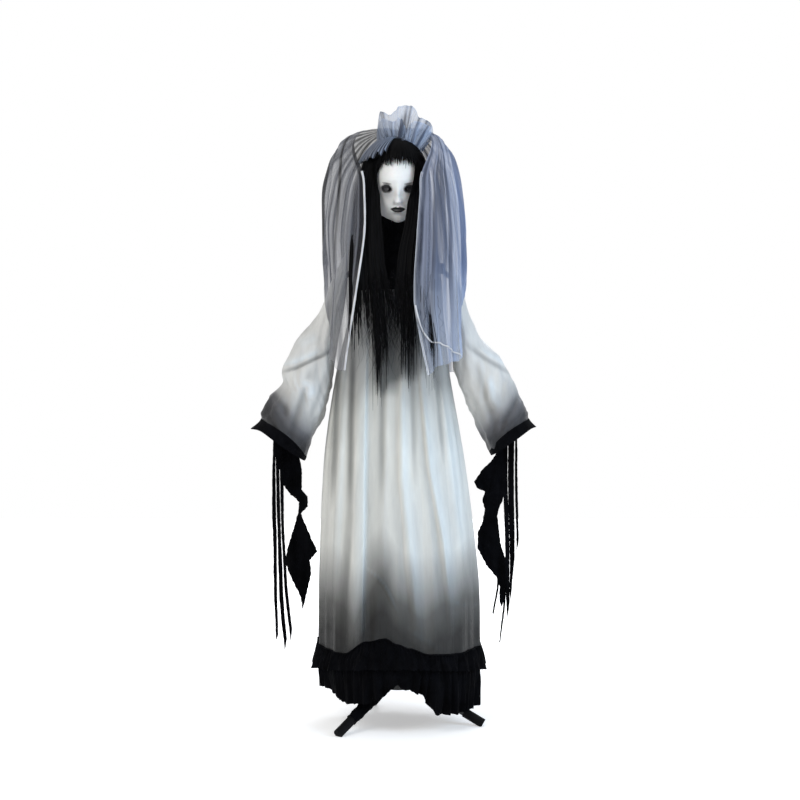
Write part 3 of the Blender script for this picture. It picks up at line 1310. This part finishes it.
def wig_rows(thick, rise, overhang):
    """Rows from crown to hairline: the wig's outside if thick, else a skin that far off the head."""
    frame = head_matrix()
    turn = frame.to_3x3()
    rows = []
    for i in range(WIG_ROWS):
        line = []
        for around in round_angles(WIG_COLUMNS):
            edge = math.radians(round_table(HAIRLINE_ANGLES, around))
            above = WIG_TOP_ANGLE + (edge - WIG_TOP_ANGLE) * i / (WIG_ROWS - 1)
            if i == WIG_ROWS - 1:
                above -= overhang / (HEAD_WIDTH / 2)
            out = rise
            if thick:
                out += WIG_THICKNESS * (1 + WIG_CROWN_SHARE * max(0.0, math.sin(above)))
            normal = head_normal(around, above, False)
            line.append(frame @ head_local(around, above, False) + turn @ normal * out)
        rows.append(line)
    return rows


def trim_to_head(piece, look):
    """Cut a soft piece clear of the head and of the wig."""
    boolean(piece, bare_head("cutter", CLOTH_CLEARANCE, look))
    outer = wig_rows(True, WIG_CLEARANCE, CLOTH_CLEARANCE)
    inner = wig_rows(False, 0.0, CLOTH_CLEARANCE)
    return boolean(piece, grid_solid("cutter", outer, inner, True, look))


def make_head(looks):
    pieces = []
    vinyl = looks["vinyl"]
    for name, angles, featured, count in (
        ("face_mask", mask_angles(), True, MASK_ROWS), ("skull_shell", skull_angles(), False, SKULL_ROWS),
    ):
        outer = head_grid(angles, featured, 0.0, count)
        inner = head_grid(angles, featured, -SHELL_WALL, count)
        shell = grid_solid(name, outer, inner, False, vinyl)
        boolean(shell, cutter_rod(
            (0, 0, NECK_CASE_BOTTOM), (0, 0, NECK_HOLE_TOP), NECK_HOLE_RADIUS, vinyl, FINE_SEGMENTS,
        ))
        pieces.append(shell)
    mask = pieces[0]
    frame = head_matrix()
    for side, name in ((-1, "left"), (1, "right")):
        outline = []
        for k in range(TUBE_SEGMENTS):
            angle = 2 * math.pi * k / TUBE_SEGMENTS
            across = math.cos(angle) * EYE_SLOT_WIDTH / 2
            up = math.sin(angle) * EYE_SLOT_HEIGHT / 2
            outline.append((side * EYE_SPACING + across, up))
        cutter = outline_solid("cutter", outline, -HEAD_DEPTH / 2 - CUT_OVERRUN * 2, HEAD_DEPTH / 2, vinyl)
        cutter.data.transform(frame)
        boolean(mask, cutter)
        mesh_data = bmesh.new()
        bmesh.ops.create_uvsphere(
            mesh_data, u_segments=TUBE_SEGMENTS, v_segments=TUBE_SEGMENTS // 2, radius=EYE_RADIUS
        )
        turn = Matrix.Rotation(math.pi / 2, 4, "X")
        place = Matrix.Translation((side * EYE_SPACING, -EYE_SET_BACK, 0))
        mesh_data.transform(frame @ place @ turn)
        eye = finish_mesh("eye_" + name, mesh_data, looks["eye"])
        boolean(eye, inner_head("cutter", looks["eye"]), "INTERSECT")
        pieces.append(eye)
    plate = box(
        "head_bracket", (-HEAD_WIDTH, -BRACKET_WIDTH / 2, BRACKET_HEIGHT),
        (HEAD_WIDTH, BRACKET_WIDTH / 2, BRACKET_HEIGHT + BRACKET_PLATE), looks["steel"],
    )
    boolean(plate, inner_head("cutter", looks["steel"]), "INTERSECT")
    boolean(plate, cutter_rod(
        (0, 0, BRACKET_HEIGHT - CUT_OVERRUN), (0, 0, BRACKET_HEIGHT + BRACKET_PLATE + CUT_OVERRUN),
        NECK_SHAFT_RADIUS + GAP, looks["steel"],
    ))
    pieces.append(plate)
    return pieces


def make_wig(looks):
    """The cap of hair from the hairline to the nape."""
    outer, inner = wig_rows(True, 0.0, 0.0), wig_rows(False, WIG_SEAT, 0.0)
    return grid_solid("wig_cap", outer, inner, True, looks["hair"])


def make_lock(name, shares, looks):
    """A flat lock of long hair, trimmed where it meets the head."""
    mesh_data = bmesh.new()
    points, radii = [], []
    for across, forward, down, wide in shares:
        points.append(Vector((LOCK_REACH * across, -LOCK_REACH * forward, LOCK_TOP - LOCK_LENGTH * down)))
        radii.append(LOCK_HALF_WIDTH * wide)
    tube_mesh(points, radii, LOCK_COLUMNS, mesh_data, Vector((0, 1, 0)), [LOCK_FLAT_SHARE] * len(points))
    return trim_to_head(finish_mesh(name, mesh_data, looks["hair"]), looks["hair"])


def veil_section(angle, left, right, deep, height):
    wide = left if math.sin(angle) > 0 else right
    across = math.copysign(abs(math.sin(angle)) ** VEIL_SQUARE_SHARE, math.sin(angle))
    front = math.copysign(abs(math.cos(angle)) ** VEIL_SQUARE_SHARE, math.cos(angle))
    return Vector((-across * wide, -front * deep, height))


def make_veil(looks):
    """A veil gathered at the crown, open at the front, and lifted where the arms pass under it."""
    columns = VEIL_FOLDS * VEIL_STEPS_PER_FOLD
    grid = []
    for share, left, right, deep, edge_left, edge_right in VEIL_SHARES:
        line = []
        for k in range(columns + 1):
            start = math.radians(edge_left)
            end = 2 * math.pi - math.radians(edge_right)
            angle = start + (end - start) * k / columns
            low = VEIL_BOTTOM + (VEIL_ARM_NOTCH - VEIL_BOTTOM) * round_table(VEIL_HEM_SHARES, angle)
            height = low + (VEIL_TOP - low) * share
            ripple = 1 + VEIL_RIPPLE_SHARE * math.cos(2 * math.pi * k / VEIL_STEPS_PER_FOLD)
            line.append(veil_section(
                angle, VEIL_HALF_WIDTH * left * ripple, VEIL_HALF_WIDTH * right * ripple,
                VEIL_DEPTH / 2 * deep * ripple, height,
            ))
        grid.append(line)

    def outward(point):
        return point - Vector((0, 0, HEAD_HEIGHT if point.z > HEAD_HEIGHT else point.z))
    veil = cloth_solid("veil", grid, CLOTH_WALL, False, outward, looks["tulle"])
    return trim_to_head(veil, looks["tulle"])


def make_pouf(looks):
    """A pleated fan of tulle that stands on the crown."""
    columns = POUF_PLEATS * VEIL_STEPS_PER_FOLD
    edge = [(k / (len(POUF_SHARES) - 1), x, z) for k, (x, z) in enumerate(POUF_SHARES)]
    grid = []
    for i in range(POUF_ROWS):
        share = i / (POUF_ROWS - 1)
        line = []
        for k in range(columns + 1):
            across, up = blend_rows(edge, k / columns)
            pleat = POUF_PLEAT_DEPTH * share * math.sin(2 * math.pi * k / VEIL_STEPS_PER_FOLD)
            line.append(Vector((
                POUF_HALF_WIDTH * across * (POUF_BASE_SHARE + (1 - POUF_BASE_SHARE) * share),
                pleat - POUF_FORWARD, POUF_BASE + POUF_RISE * up * share,
            )))
        grid.append(line)

    def outward(point):
        return Vector((0, -1, 0))
    pouf = cloth_solid("veil_pouf", grid, CLOTH_WALL, False, outward, looks["tulle"])
    return boolean(pouf, closed_volume("cutter", wig_rows(True, CLOTH_CLEARANCE, 0.0), looks["tulle"]))


def build():
    clear_scene()
    looks = make_materials()
    make_stand(looks)
    make_pole(looks)
    case_pieces = make_drive_case(looks)
    case_parts = mount_case_parts(case_pieces, looks)
    batteries = make_battery_box(looks)
    make_controls(case_pieces, looks)
    spine = make_spine(looks)
    neck, neck_drive = make_neck(looks)
    make_torso_pinion(looks)
    make_skirt(looks)
    make_ruffles(looks)
    yoke = make_yoke(looks)
    turning = case_pieces + case_parts + batteries + spine + neck + yoke
    attach(turning, joint_empty("torso_axis", (0, 0, CASE_BOTTOM)))
    make_arm(
        -1, "left", LEFT_SLEEVE_SHARES, LEFT_HANG_SHARES, LEFT_ROD_SHARES, LEFT_TATTER_SHARES, looks
    )
    make_arm(
        1, "right", RIGHT_SLEEVE_SHARES, RIGHT_HANG_SHARES, RIGHT_ROD_SHARES, RIGHT_TATTER_SHARES, looks
    )
    head = make_head(looks) + neck_drive + [make_wig(looks), make_veil(looks), make_pouf(looks)]
    head.append(make_lock("hair_left", LEFT_LOCK_SHARES, looks))
    head.append(make_lock("hair_right", RIGHT_LOCK_SHARES, looks))
    attach(head, joint_empty("head_axis", (0, 0, NECK_CASE_BOTTOM)))


build()
